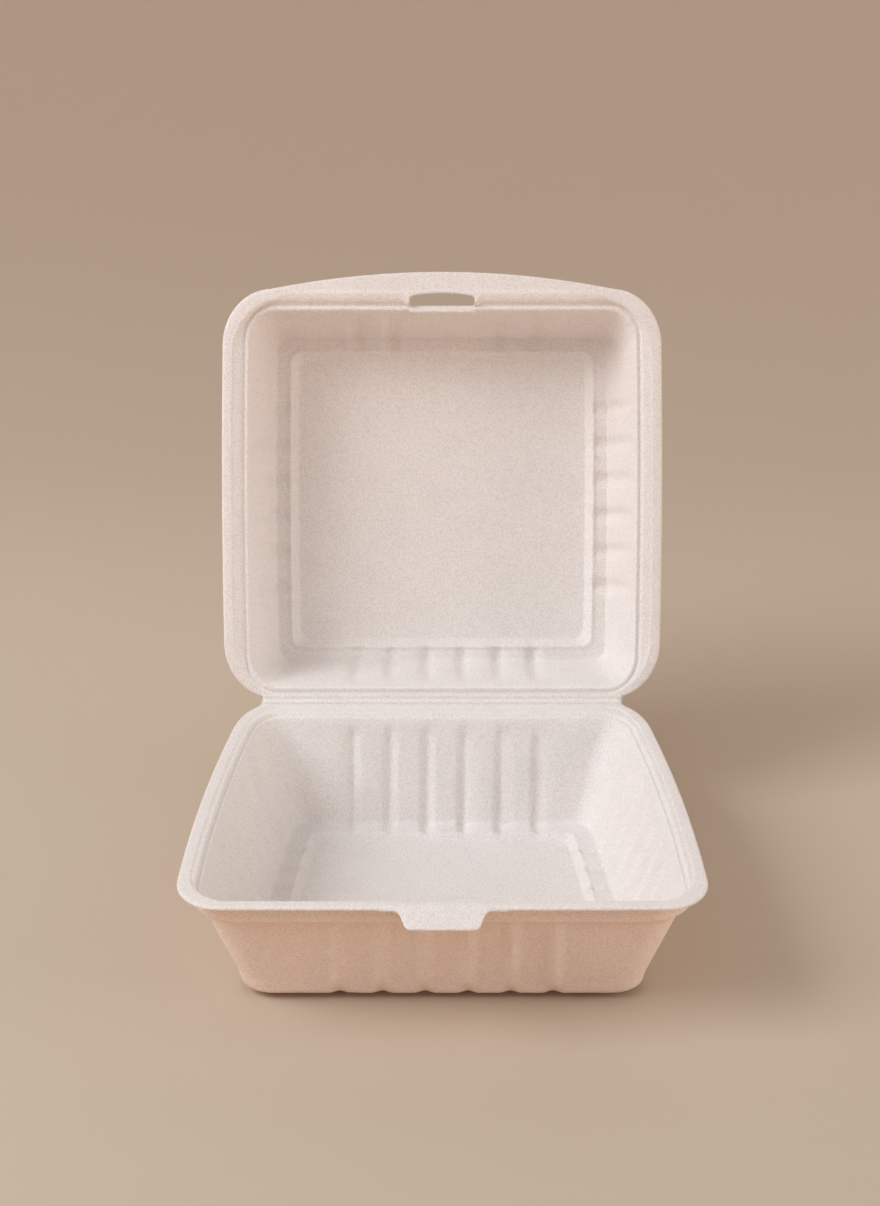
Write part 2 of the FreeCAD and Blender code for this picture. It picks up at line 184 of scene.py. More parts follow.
# %% One ring: places, which face each point belongs to, and its outward direction
def outline(k):
    """All points of one ring, from the rear left corner round by the right side."""
    values = dict(zip(KNOT, k))
    half = NOMINAL_HALF - values["side"]
    near, far = values["hinge"], LENGTH - values["front"]
    rx, ry = values["rear_rx"], values["rear_ry"]
    fx, fy = values["front_rx"], values["front_ry"]
    points, faces, normals, alongs = [], [], [], []

    def straight(wanted, low, high, place, face, normal):
        for p in along_side(low, high, wanted):
            points.append(place(p))
            faces.append(face)
            normals.append(normal)
            alongs.append(p)

    def corner(cx, cv, ax, av, start, face_a, face_b):
        for step in range(1, CORNER_STEPS):
            t = step / CORNER_STEPS
            angle = start + t * math.pi / 2
            c, s = math.cos(angle), math.sin(angle)
            points.append((cx + ax * c, cv + av * s))
            mix = float(smooth(t))
            faces.append([a * (1 - mix) + b * mix for a, b in zip(face_a, face_b)])
            normals.append((c, s))
            alongs.append(NO_FLUTE)

    side, front, hinge = (1, 0, 0), (0, 1, 0), (0, 0, 1)
    low, high = near + ry - MIDDLE, far - fy - MIDDLE
    straight(PLAIN_MARKS, rx - half, half - rx, lambda p: (p, near), hinge, (0, -1))
    corner(half - rx, near + ry, rx, ry, -math.pi / 2, hinge, side)
    straight(PLAIN_MARKS, low, high, lambda p: (half, MIDDLE + p), side, (1, 0))
    corner(half - fx, far - fy, fx, fy, 0.0, side, front)
    straight(FRONT_MARKS, fx - half, half - fx, lambda p: (-p, far), front, (0, 1))
    corner(fx - half, far - fy, fx, fy, math.pi / 2, front, side)
    straight(PLAIN_MARKS, -high, -low, lambda p: (-half, MIDDLE - p), side, (-1, 0))
    corner(rx - half, near + ry, rx, ry, math.pi, side, hinge)
    return np.array(points), np.array(faces, float), np.array(normals, float), np.array(alongs)


# %% [markdown]
# ## From rings to a closed shell
#
# The rings run from the middle of the inside panel, up the wall, over the rim and
# down the outside to the middle of the underside, so that the foam gets its real
# thickness. The flutes aren't shaped here: each point only stores how far along its
# wall it lies and which way a flute presses it.

# %% The shell builder
def shell(name, rings, half_width, shape_front, to_world):
    """A closed mesh through the rings, with the two attributes the flutes need."""
    rows, along_rows, press_rows = [], [], []
    # the outermost ring parts those above the foam from those below it
    turn = int(np.argmin(rings[:, KNOT.index("front")]))
    for index, k in enumerate(rings):
        plan, faces, normals, alongs = outline(k)
        values = dict(zip(KNOT, k), above=index < turn)
        x, v = plan[:, 0].copy(), plan[:, 1].copy()
        d = faces @ np.array([values["side_d"], values["front_d"], values["hinge_d"]])
        side = values["side"]
        x *= (half_width(v) - side) / (NOMINAL_HALF - side)
        x, v, d = shape_front(x, v, d, faces[:, 1], values)
        on_hinge_or_front = np.abs(normals[:, 1]) == 1
        along = np.where(on_hinge_or_front, x - FLUTE_SHIFT, v - MIDDLE)
        straight = np.max(np.abs(normals), axis=1) == 1
        along = np.where(straight, along, NO_FLUTE)
        press = np.stack([normals[:, 0] * values["out"], normals[:, 1] * values["out"],
                          np.full(len(x), values["down"])], axis=1)
        rows.append(np.stack([x, v, d], axis=1))
        along_rows.append(along)
        press_rows.append(press)
    count = len(rows[0])
    local = np.concatenate(rows)
    press = np.concatenate(press_rows)
    world = to_world(local)
    lean = to_world(local + press) - world
    quads = []
    for r in range(len(rows) - 1):
        a, b = r * count, (r + 1) * count
        for i in range(count):
            j = (i + 1) % count
            quads.append((a + i, a + j, b + j, b + i))
    last = (len(rows) - 1) * count
    quads.append(tuple(reversed(range(count))))
    quads.append(tuple(range(last, last + count)))
    mesh = bpy.data.meshes.new(name)
    mesh.from_pydata((world * MM).tolist(), [], quads)
    mesh.attributes.new("along", "FLOAT", "POINT").data.foreach_set(
        "value", (np.concatenate(along_rows) * MM).astype(np.float32))
    mesh.attributes.new("press", "FLOAT_VECTOR", "POINT").data.foreach_set(
        "vector", lean.astype(np.float32).ravel())
    return mesh, local.reshape(len(rows), count, 3)


def face_outwards(mesh):
    """Recalculates the normals of a closed mesh and shades it smooth."""
    work = bmesh.new()
    work.from_mesh(mesh)
    bmesh.ops.recalc_face_normals(work, faces=work.faces)
    work.to_mesh(mesh)
    work.free()
    mesh.polygons.foreach_set("use_smooth", [True] * len(mesh.polygons))
    mesh.update()


# %% [markdown]
# ## Rings that both halves share
#
# From the middle of the inside, the section runs out over the sunk panel, a low ridge,
# the ledge and the wall to the rim. The rim has a groove, a bead and a rolled outer
# edge. Under it the outside runs back the same way. Each half only gives what differs:
# its insets, its depths and the thickness of its foam.

# %% Small helpers for the section
PANEL_R = 3.8                      # corner radius of the panel and its ridge
WALL_TOP_D = 3.6                   # where the inside wall starts, below the rim
WALL_LINE_D = 4.6                  # the depth that wall_line is measured at
RIM_THICK = 1.62                   # the rim is pressed thinner than the walls
LEDGE_OVER = 2.0                   # the ledge's underside stands this far off the table
WALL_SHARE = 0.72                  # what a sloping wall's thickness measures level


def at(insets, depth, radii, soft, tilt=0.0, **more):
    """A knot at one depth. The tilt sets its hinge side deeper."""
    s, f, g = insets
    return knot((s, depth), (f, depth), (g, depth + tilt), radii, soft, **more)


def offset(insets, by):
    return tuple(i + by for i in insets)


def panel_ring(h, back, depth):
    """A ring on the panel, at a share of the way from its edge to its middle."""
    side, front, hinge = h["panel"]
    span = LENGTH - front - hinge
    insets = (side + (NOMINAL_HALF - side) * back, front + span * back / 2,
              hinge + span * back / 2)
    return at(insets, depth, min(3.6, (1 - back) * 30), 0)


def depths(h):
    """Depth of the inside panel, and of the ledge round it."""
    floor = h["depth"] - h["foam"]
    return floor, floor - h["step"]


# %% The inside: panel, ridge, ledge and wall
def inside_knots(h):
    floor, ledge = depths(h)
    shoulder, foot_r = h["shoulder_r"], h["foot_r"]

    def wall(share):
        """Insets on the wall, a share of the way from its top to its foot."""
        return tuple(t + (b - t) * share for t, b in zip(h["wall_top"], h["foot"]))

    knots = []
    for back in (0.94, 0.8, 0.6, 0.4, 0.2, 0.06):
        crowned = floor + h["crown"] * (1 - (1 - back) ** 2)
        knots.append(panel_ring(h, back, crowned))
    return knots + [
        at(h["panel"], floor, PANEL_R, 0.6),
        # a low ridge runs round the ledge where it meets the panel
        at(h["ledge"], ledge - h["ridge"], PANEL_R, 0.45, down=h["ledge_flute"] / 2),
        at(offset(h["ledge"], -1.3), ledge, PANEL_R, 0.4, down=h["ledge_flute"]),
        at(offset(h["foot"], 1.9), ledge, foot_r, 0.6, down=h["ledge_flute"]),
        at(h["foot"], ledge, foot_r, h["foot_soft"], out=0.35, down=1.2),
        at(wall(0.82), ledge - (ledge - WALL_TOP_D) * 0.18, foot_r, 1.5, out=1.0),
        at(wall(0.5), WALL_TOP_D + (ledge - WALL_TOP_D) * 0.5, shoulder, 1.5, out=1.0),
        at(wall(0.14), WALL_TOP_D + (ledge - WALL_TOP_D) * 0.14, shoulder, 1.5,
           out=h["flute_top"]),
        at(h["wall_top"], WALL_TOP_D, shoulder, 1.2),
    ]


# %% The rim: bead, groove, flat, step and rolled edge
def rim_knots(h):
    rim_r, tilt, edge, low = h["rim_radii"], h["edge_tilt"], h["hinge_edge"], h["edge_low"]
    roll_end = edge + h["hinge_roll"]
    knots = [
        at(h["bead"], h["bead_d"], h["shoulder_r"], 0.7, tilt=h["bead_tilt"]),
        at(h["groove"], h["groove_d"], h["shoulder_r"], 0.5, tilt=h["groove_tilt"]),
        at(h["plateau"], h["plateau_d"], h["plateau_radii"], 0.4, tilt=h["plateau_tilt"]),
        # a small step down from the rolled edge draws a line round the rim
        at((3.9, 3.9, roll_end + 0.5), 0.35, rim_r, 0.2, tilt=tilt),
        at((3.3, 3.3, roll_end), 0.0, rim_r, 0.25, tilt=tilt),
    ]
    # rings that stretch into the tongue or the lip, above the foam
    for step in range(ROLL_EXTRA + 1):
        share = step / ROLL_EXTRA
        inset = REACH_INSET - (REACH_INSET - ROLL_WIDTH) * share
        near = edge + h["hinge_roll"] * (0.92 - 0.1 * share)
        knots.append(at((inset, inset, near), 0.0, rim_r, 0, tilt=tilt, reach=share))
    knots += [
        at((0.0, 0.0, edge), 0.0, rim_r, 2.4, tilt=tilt, reach=1.0),
        at((0.0, 0.0, edge), low, rim_r, 0.4, reach=1.0),
        at((1.1, 1.1, edge + 0.9), low, rim_r, 0.35, reach=1.0),
        at((1.5, 1.5, edge + 1.2), RIM_THICK, rim_r, 0.3, reach=1.0),
    ]
    # and the same rings back again, below the foam
    for step in range(ROLL_EXTRA + 1):
        share = step / ROLL_EXTRA
        inset = ROLL_WIDTH + (REACH_INSET - ROLL_WIDTH) * share
        knots.append(at((inset, inset, edge + 1.3), RIM_THICK, rim_r, 0, reach=1 - share))
    return knots


# %% The outside: band, wall, heel and underside
def outside_knots(h):
    foam, drop = h["foam"], h["depth"] - LEDGE_OVER
    foot_r, heel_r, heel_flute = h["foot_r"], h["heel_r"], h["heel_flute"]
    slope = [(b - t) / (depths(h)[1] - WALL_LINE_D) for t, b in zip(h["wall_line"], h["foot"])]

    def outer(depth, by=0.0):
        """Insets of the outside of the wall at a depth."""
        return tuple(t + s * (depth - WALL_LINE_D) - WALL_SHARE * foam + by
                     for t, s in zip(h["wall_line"], slope))

    # the heel stands out past the line of the wall, and pulls the wall above it along
    over_heel = [i - 0.5 * more for i, more in zip(outer(drop - 5.0), h["heel_out"])]
    heel = [i - more for i, more in zip(outer(drop, 0.2), h["heel_out"])]
    band = offset(h["band"], -foam)
    knots = [
        at(band, 1.7, h["band_r"], 0.5),
        at(offset(band, 0.35), 4.6 + foam, h["band_low_r"], 0.5),
        at(offset(h["wall_line"], -WALL_SHARE * foam), 4.9 + foam, h["outer_r"], 0.5),
        at(outer(9.5), 9.5, h["outer_r"], 1.0, out=1.0),
        at(over_heel, drop - 5.0, heel_r, 1.6, out=0.8),
        at(heel, drop, heel_r, h["heel_soft"], out=heel_flute, down=-0.2),
        at(offset(h["foot"], 2.2), drop, foot_r, 0.6, out=heel_flute / 2,
           down=h["under_flute"][0]),
        at(offset(h["ledge"], -foam / 2), drop, PANEL_R, 0.9, down=h["under_flute"][1]),
        at(offset(h["panel"], -foam / 2), h["depth"], PANEL_R, 0.9),
    ]
    return knots + [panel_ring(h, back, h["depth"]) for back in (0.06, 0.3, 0.6, 0.94)]


def section(h):
    """All knots of a half, from the middle of its inside to the middle of its underside."""
    return inside_knots(h) + rim_knots(h) + outside_knots(h)


# %% [markdown]
# ## Base and lid in numbers
#
# The base is deeper and thicker than the lid. Insets are for side, front and hinge,
# radii for front x, front y, rear x and rear y. The flute numbers are shares of the
# flute's depth: how far a flute moves that part of the section.

# %% The sizes that differ between base and lid
BASE = dict(
    # the sheet and its main depths
    foam=2.5, depth=41.0, step=2.0, ridge=0.25, crown=-0.25,
    # panel, ledge and wall inside
    panel=(29.2, 28.6, 29.2), ledge=(26.6, 26.0, 26.6), foot=(19.9, 19.3, 19.8),
    foot_r=7.0, foot_soft=1.4, wall_top=(7.6, 7.4, 10.0), shoulder_r=(7.5, 8.5, 8.5, 9.5),
    # bead, groove and flat of the rim, then its edge
    bead=(6.8, 6.5, 9.2), bead_d=1.5, bead_tilt=0.0,
    groove=(5.9, 5.6, 8.4), groove_d=1.9, groove_tilt=0.0,
    plateau=(5.2, 4.9, 7.6), plateau_d=0.45, plateau_tilt=0.0,
    plateau_radii=(9.0, 10.5, 9.0, 13.0), rim_radii=(13.6, 16.5, 8.0, 19.0),
    hinge_edge=1.3, hinge_roll=1.6, edge_low=1.1, edge_tilt=0.2,
    # band, wall and heel outside
    band=(6.1, 6.1, 7.6), band_r=(12.5, 13.5, 9.0, 14.0), band_low_r=(16.0, 16.0, 9.0, 13.0),
    wall_line=(7.4, 7.4, 9.0), outer_r=(11.0, 11.5, 9.0, 11.0),
    heel_r=9.5, heel_soft=1.9, heel_out=(2.5, 1.7, 1.2),
    # flutes
    flute_top=1.0, ledge_flute=1.0, heel_flute=-0.95, under_flute=(0.0, 0.8),
)
LID = dict(
    foam=1.7, depth=32.4, step=2.4, ridge=0.6, crown=-0.35,
    panel=(24.6, 21.9, 20.6), ledge=(21.9, 19.2, 17.9), foot=(16.8, 14.1, 13.0),
    foot_r=4.6, foot_soft=0.45, wall_top=(9.4, 8.2, 6.0), shoulder_r=(9.5, 10.5, 10.0, 11.0),
    bead=(8.8, 7.0, 4.8), bead_d=1.5, bead_tilt=-0.7,
    groove=(7.3, 5.2, 3.8), groove_d=2.1, groove_tilt=-0.7,
    plateau=(6.4, 4.5, 3.2), plateau_d=1.0, plateau_tilt=0.7,
    plateau_radii=(12.5, 14.0, 12.0, 14.0), rim_radii=(16.5, 19.0, 16.5, 19.0),
    hinge_edge=1.3, hinge_roll=0.9, edge_low=2.0, edge_tilt=1.1,
    band=(6.4, 7.2, 4.8), band_r=(12.0, 13.5, 12.0, 14.0), band_low_r=(9.5, 10.5, 10.0, 11.0),
    wall_line=(7.8, 8.6, 6.2), outer_r=(9.5, 10.5, 10.0, 11.0),
    heel_r=6.0, heel_soft=2.0, heel_out=(0.0, 0.0, 0.0),
    flute_top=0.3, ledge_flute=1.1, heel_flute=0.5, under_flute=(1.1, 1.1),
)
print("knots in a section:", len(section(BASE)), "rings:", len(soften(section(BASE))))


# %% [markdown]
# ## The tongue
#
# The front rim of the base runs out into a sloping tongue that the lid's slot holds. A
# tongue made on its own would leave a seam that the pressed sheet doesn't have. So the
# rings of the rolled rim are pulled out along the tongue's outline: a ring with reach 0
# stays where it is, and one with reach 1 goes all the way.

# %% How wide each half is along its length
def base_half(v):
    t = np.clip(v / LENGTH, 0, 1)
    return 67.5 + 9.57 * t + 2.91 * 4 * t * (1 - t)


def lid_half(v):
    t = np.clip(v / LENGTH, 0, 1)
    return 75.0 + 0.4 * t + 0.9 * 4 * t * (1 - t)


print("base half width:", base_half(0.0), "to", base_half(LENGTH))

# %% The outline of the tongue as a path
TONGUE_CORNERS = ((7.9, 6.4), (10.3, 6.4), (12.7, 0.0), (15.4, 0.0))   # x, how far out
TONGUE_SOFTNESS = (0.0, 1.7, 1.9, 0.0)


def tongue_path():
    """Points round one side of the tongue, from its tip to the rim, and their normals."""
    corners, softness = np.array(TONGUE_CORNERS), TONGUE_SOFTNESS
    points = [corners[0]]
    for i in (1, 2):
        inward = corners[i - 1] - corners[i]
        onward = corners[i + 1] - corners[i]
        start = corners[i] + inward / np.linalg.norm(inward) * softness[i]
        end = corners[i] + onward / np.linalg.norm(onward) * softness[i]
        for t in np.linspace(0, 1, 20):
            points.append((1 - t) ** 2 * start + 2 * t * (1 - t) * corners[i] + t * t * end)
    points.append(corners[3])
    points = np.array(points)
    step = np.linalg.norm(np.diff(points, axis=0), axis=1)
    length = np.concatenate([[0], np.cumsum(step)])
    fine = np.linspace(0, length[-1], 400)
    path = np.stack([np.interp(fine, length, points[:, k]) for k in (0, 1)], axis=1)
    run = np.gradient(path, axis=0)
    run /= np.linalg.norm(run, axis=1)[:, None]
    normals = np.stack([-run[:, 1], run[:, 0]], axis=1)
    return path, normals


TONGUE, TONGUE_NORMALS = tongue_path()
print("tongue:", 2 * TONGUE[:, 0].max(), "mm wide at its root")

# %% The front of the base
TONGUE_SLOPE = math.radians(30)
TONGUE_FROM, TONGUE_TO = 7.4, 14.4   # the columns of points that go round its side
TONGUE_ROOT = 19.0                   # no point further out than this moves
FRONT_BOW = 0.2                      # the front edge is a little bowed


def tongue_edge(a):
    """Where each column meets the tongue's outline, and the outward normal there."""
    share = (a - TONGUE_FROM) / (TONGUE_TO - TONGUE_FROM)
    place = np.clip(share, 0, 1) * (len(TONGUE) - 1)
    low = np.floor(place).astype(int).clip(0, len(TONGUE) - 2)
    part = (place - low)[:, None]
    edge = TONGUE[low] * (1 - part) + TONGUE[low + 1] * part
    normal = TONGUE_NORMALS[low] * (1 - part) + TONGUE_NORMALS[low + 1] * part
    edge[:, 0] = np.where(share < 0, a * TONGUE[0, 0] / TONGUE_FROM, edge[:, 0])
    edge[:, 0] = np.where(share > 1, a + TONGUE[-1, 0] - TONGUE_TO, edge[:, 0])
    return share, edge, normal


def base_front(x, v, d, on_front, values):
    """Bows the front edge a little and runs the rim out into the tongue."""
    inset, reach = values["front"], values["reach"]
    a, sign = np.abs(x), np.sign(x)
    if on_front.max() > 0 and (reach > 0 or inset < REACH_INSET + 0.01):
        share, edge, normal = tongue_edge(a)
        # the rolled edge is narrower along the tongue than along the rim
        roll = inset if inset < ROLL_WIDTH else ROLL_WIDTH
        narrow = roll * (1 - 0.68 * smooth(1 - (share - 0.45) / 0.55))
        end = edge - normal * narrow[:, None]
        start = np.stack([a, np.full(len(a), -REACH_INSET)], axis=1)
        # x moves before v does, so that no ring folds over another at the root
        spot = start + (end - start) * np.array([reach ** 0.6, reach])
        grown = np.clip(spot[:, 1] + 1.0, 0, None)
        on = (on_front > 0.999) & (a < TONGUE_ROOT)
        level = LENGTH + np.where(spot[:, 1] > -1, -1 + grown * math.cos(TONGUE_SLOPE),
                                  spot[:, 1])
        fade = smooth((TONGUE_ROOT - a) / 2.5) * on
        x = x + (sign * spot[:, 0] - x) * fade
        v = v + (level - v) * fade
        # the tongue is thinner than the rim, and slopes down
        slim = 1 - 0.4 * smooth(grown / 2.5) * smooth(1 - (share - 0.9) / 0.6)
        d = np.where(on, d * slim + grown * math.sin(TONGUE_SLOPE) * fade, d)
    bow = FRONT_BOW * np.clip(v / LENGTH, 0, 1) ** 3 * (1 - (x / NOMINAL_HALF) ** 2)
    return x, v + bow, d


# %% [markdown]
# ## The lip and its slot
#
# The lid's front rim is bowed into a lip for the finger that lifts it. The same rings
# that make the tongue stretch into it. Behind it lies the slot. A Boolean cut would
# leave long thin triangles there, so one ring on each side of the slot is moved to its
# edge, above the foam and below it, and the faces between them are left out later.

# %% Where the lip is
LIP_HALF, LIP_BOW, LIP_ROLL = 59.5, 5.9, 1.0
LIP_CREASE = 141.6                   # the lip starts past this line
FLAT_FROM = 138.2                    # past this line the rim makes room for the crease


def lip_place(v, reach, x):
    """Where a point of the front rim goes once the rim has grown its lip."""
    a = np.clip(np.abs(x) / LIP_HALF, 0, 1)
    edge = LENGTH + LIP_BOW * (1 - a ** 2)
    roll = ROLL_WIDTH - (ROLL_WIDTH - LIP_ROLL) * smooth((1 - a) * 7)
    crease = np.minimum(LIP_CREASE, edge - roll - (REACH_INSET - ROLL_WIDTH))
    to_line = LENGTH - REACH_INSET
    inner = np.clip(v, None, FLAT_FROM)
    flat = np.clip(v - FLAT_FROM, 0, to_line - FLAT_FROM) / (to_line - FLAT_FROM)
    rolled = np.clip(v - (LENGTH - ROLL_WIDTH), 0, ROLL_WIDTH) / ROLL_WIDTH
    return (inner + flat * (crease - FLAT_FROM) + reach * (edge - roll - crease)
            + rolled * roll)


# %% Which rings become the slot's edges, and where they go
SLOT_HALF, SLOT_CORNER = 11.4, 1.3
SLOT_SPAN = (133.4, 147.4)           # rings move to make room between these lines
SLOT_RINGS = {}                      # for above and below: two rings and their v


def find_slot_rings(rings):
    """Picks the rings that will run along the slot's edges, above and below the foam."""
    inset, reach = rings[:, KNOT.index("front")], rings[:, KNOT.index("reach")]
    turn, order = int(np.argmin(inset)), np.arange(len(rings))

    def nearest(wanted, allowed):
        return int(np.argmin(np.where(allowed, np.abs(inset - wanted), 99)))

    low_above = nearest(LID["bead"][1] - 0.2, order < turn)
    low_below = nearest(LID["band"][1] - LID["foam"] + 0.05, order > turn)
    lip_starts = np.nonzero((np.abs(inset - REACH_INSET) < 1e-6) & (reach == 0))[0]
    high_above, high_below = int(lip_starts[0]), int(lip_starts[-1])
    for above, low, high in ((True, low_above, high_above), (False, low_below, high_below)):
        SLOT_RINGS[above] = (low, high, LENGTH - inset[low], LIP_CREASE)


def slot_edges(x, above):
    """The lower and upper edge of the slot at x, on the face above or below the foam."""
    a = np.clip(np.abs(x), 0, SLOT_HALF)
    inward = np.clip(a - (SLOT_HALF - SLOT_CORNER), 0, SLOT_CORNER)
    drop = SLOT_CORNER - np.sqrt(np.clip(SLOT_CORNER ** 2 - inward ** 2, 0, None))
    arch = 1.2 * (a / SLOT_HALF) ** 2
    low, high = (134.9, 141.0) if above else (137.0, 141.3)
    return low + drop * 0.8, high - arch - drop * 0.8


# %% The front of the lid
def lid_front(x, v, d, on_front, values):
    """Runs the rim out into the lip, and moves rings to the edges of the slot."""
    above, straight = values["above"], on_front > 0.999
    v = v + (lip_place(v, values["reach"], x) - v) * straight
    if values["front"] < 9.0:
        low, high = slot_edges(x, above)
        near = straight * (1 - smooth((np.abs(x) - SLOT_HALF) / 2.6))
        first, last = SLOT_RINGS[above][2:]
        below, beyond = SLOT_SPAN
        stops = np.interp(v, [below, first, last, beyond], [0, 1, 2, 3])
        moved = np.where(stops > 1, low + (high - low) * (stops - 1),
                         below + (low - below) * stops)
        moved = np.where(stops > 2, high + (beyond - high) * (stops - 2), moved)
        moved = np.where((v <= below) | (v >= beyond), v, moved)
        v = v + (moved - v) * near
    if above:
        # the lip lies a little lower than the rim beside it
        lip = smooth((LIP_HALF - 3.0 - np.abs(x)) / 12.0) * straight
        d = d + 0.35 * smooth((v - LIP_CREASE + 0.4) / 1.2) * lip
    return x, v, d


# %% From a half's own measures to the room
def base_world(p):
    return np.stack([p[:, 0], HINGE_Y - p[:, 1], BASE_RIM_Z - p[:, 2]], axis=1)


def lid_world(p):
    """The lid leans back, and its rim lies 0.15 mm behind the hinge axis."""
    c, s = math.cos(LEAN), math.sin(LEAN)
    w = p[:, 2] + 0.15
    return np.stack([p[:, 0], HINGE_Y + p[:, 1] * s + w * c,
                     HINGE_Z + p[:, 1] * c - w * s], axis=1)


# %% [markdown]
# ## The flutes
#
# Six flutes stiffen each wall. They could be modelled one by one, or by an array that is
# joined to the wall, but they repeat at one pitch on one sheet. So a Geometry Nodes tree
# presses them into the finished shell: it reads how far along its wall a point lies,
# finds the nearest flute, and moves the point by a rounded groove profile. Count, pitch,
# width, flank and depth are inputs, so another box could have more or wider ones.

# %% One small function for nodes
def add(tree, kind, settings=None, sockets=None):
    """Adds a node, sets its settings, and fills or links its sockets."""
    made = tree.nodes.new(kind)
    for key, value in (settings or {}).items():
        setattr(made, key, value)
    for key, value in (sockets or {}).items():
        if isinstance(value, bpy.types.NodeSocket):
            tree.links.new(value, made.inputs[key])
        else:
            made.inputs[key].default_value = value
    return made


# %% The tree
def flute_tree():
    """Moves each point by its press vector, where it lies in a flute."""
    tree = bpy.data.node_groups.new("press_flutes", "GeometryNodeTree")
    face = tree.interface
    face.new_socket("Geometry", in_out="INPUT", socket_type="NodeSocketGeometry")
    for name in ("Count", "Pitch", "Width", "Flank", "Depth"):
        face.new_socket(name, in_out="INPUT", socket_type="NodeSocketFloat")
    face.new_socket("Material", in_out="INPUT", socket_type="NodeSocketMaterial")
    face.new_socket("Geometry", in_out="OUTPUT", socket_type="NodeSocketGeometry")
    given = add(tree, "NodeGroupInput").outputs

    def maths(operation, *values):
        return add(tree, "ShaderNodeMath", {"operation": operation},
                   dict(enumerate(values))).outputs[0]

    along = add(tree, "GeometryNodeInputNamedAttribute", {"data_type": "FLOAT"},
                {"Name": "along"}).outputs["Attribute"]
    press = add(tree, "GeometryNodeInputNamedAttribute", {"data_type": "FLOAT_VECTOR"},
                {"Name": "press"}).outputs["Attribute"]
    # an even count has its flutes half a pitch off the middle of the wall
    cell = maths("FLOOR", maths("DIVIDE", along, given["Pitch"]))
    centre = maths("MULTIPLY", maths("ADD", cell, 0.5), given["Pitch"])
    away = maths("ABSOLUTE", maths("SUBTRACT", along, centre))
    rise = maths("DIVIDE", maths("SUBTRACT", maths("MULTIPLY", given["Width"], 0.5), away),
                 given["Flank"])
    rounded = add(tree, "ShaderNodeMapRange", {"interpolation_type": "SMOOTHSTEP"},
                  {"Value": rise}).outputs["Result"]
    half = maths("MULTIPLY", maths("MULTIPLY", given["Count"], 0.5), given["Pitch"])
    inside = maths("LESS_THAN", maths("ABSOLUTE", along), half)
    share = maths("MULTIPLY", maths("MULTIPLY", rounded, inside), given["Depth"])
    offset = add(tree, "ShaderNodeVectorMath", {"operation": "SCALE"},
                 {0: press, "Scale": share}).outputs["Vector"]
    moved = add(tree, "GeometryNodeSetPosition", None,
                {"Geometry": given["Geometry"], "Offset": offset}).outputs["Geometry"]
    whole = add(tree, "GeometryNodeRealizeInstances", None, {"Geometry": moved}).outputs[0]
    coated = add(tree, "GeometryNodeSetMaterial", None,
                 {"Geometry": whole, "Material": given["Material"]}).outputs["Geometry"]
    add(tree, "NodeGroupOutput", None, {"Geometry": coated})
    return tree


TREE = flute_tree()
print("press_flutes:", len(TREE.nodes), "nodes")

# %% Running the tree
def press_flutes(mesh, tree, name, material, count, pitch, width, flank, depth):
    """Runs the tree on the mesh and returns a plain object with the result."""
    rough = bpy.data.objects.new(name + "_rough", mesh)
    bpy.context.scene.collection.objects.link(rough)
    modifier = rough.modifiers.new("flutes", "NODES")
    modifier.node_group = tree
    given = {"Count": float(count), "Pitch": pitch, "Width": width, "Flank": flank,
             "Depth": depth, "Material": material}
    for item in tree.interface.items_tree:
        if item.item_type == "SOCKET" and item.in_out == "INPUT" and item.name in given:
            modifier[item.identifier] = given[item.name]
    seen = rough.evaluated_get(bpy.context.evaluated_depsgraph_get())
    final = bpy.data.meshes.new_from_object(seen)
    bpy.data.objects.remove(rough)
    final.name = name
    for spare in ("along", "press"):
        if spare in final.attributes:
            final.attributes.remove(final.attributes[spare])
    made = bpy.data.objects.new(name, final)
    bpy.context.scene.collection.objects.link(made)
    return made


# %% [markdown]
# ## Foam
#
# Expanded polystyrene is white beads fused under heat. The mould leaves a skin that
# is smooth to the touch, with a faint sheen and a fine grain of flattened cells. The
# grain is drawn as a Voronoi pattern that both tints the skin and dents it, because a
# tint alone would look printed on, and light goes a little way into the foam.

# %% Colours
def linear(code):
    """An sRGB hex colour as linear RGBA."""
    parts = [int(code[i:i + 2], 16) / 255 for i in (1, 3, 5)]
    return tuple(c / 12.92 if c <= 0.04045 else ((c + 0.055) / 1.055) ** 2.4
                 for c in parts) + (1.0,)


print("white of the foam as linear:", [round(c, 3) for c in linear("#fdf9f7")])

# %% The foam
CELL = 0.0006        # real cells are 0.3 to 0.5 mm, drawn a little coarser so that they show
CLOUD = 0.012        # the beads took the heat unevenly, in patches of about 12 mm


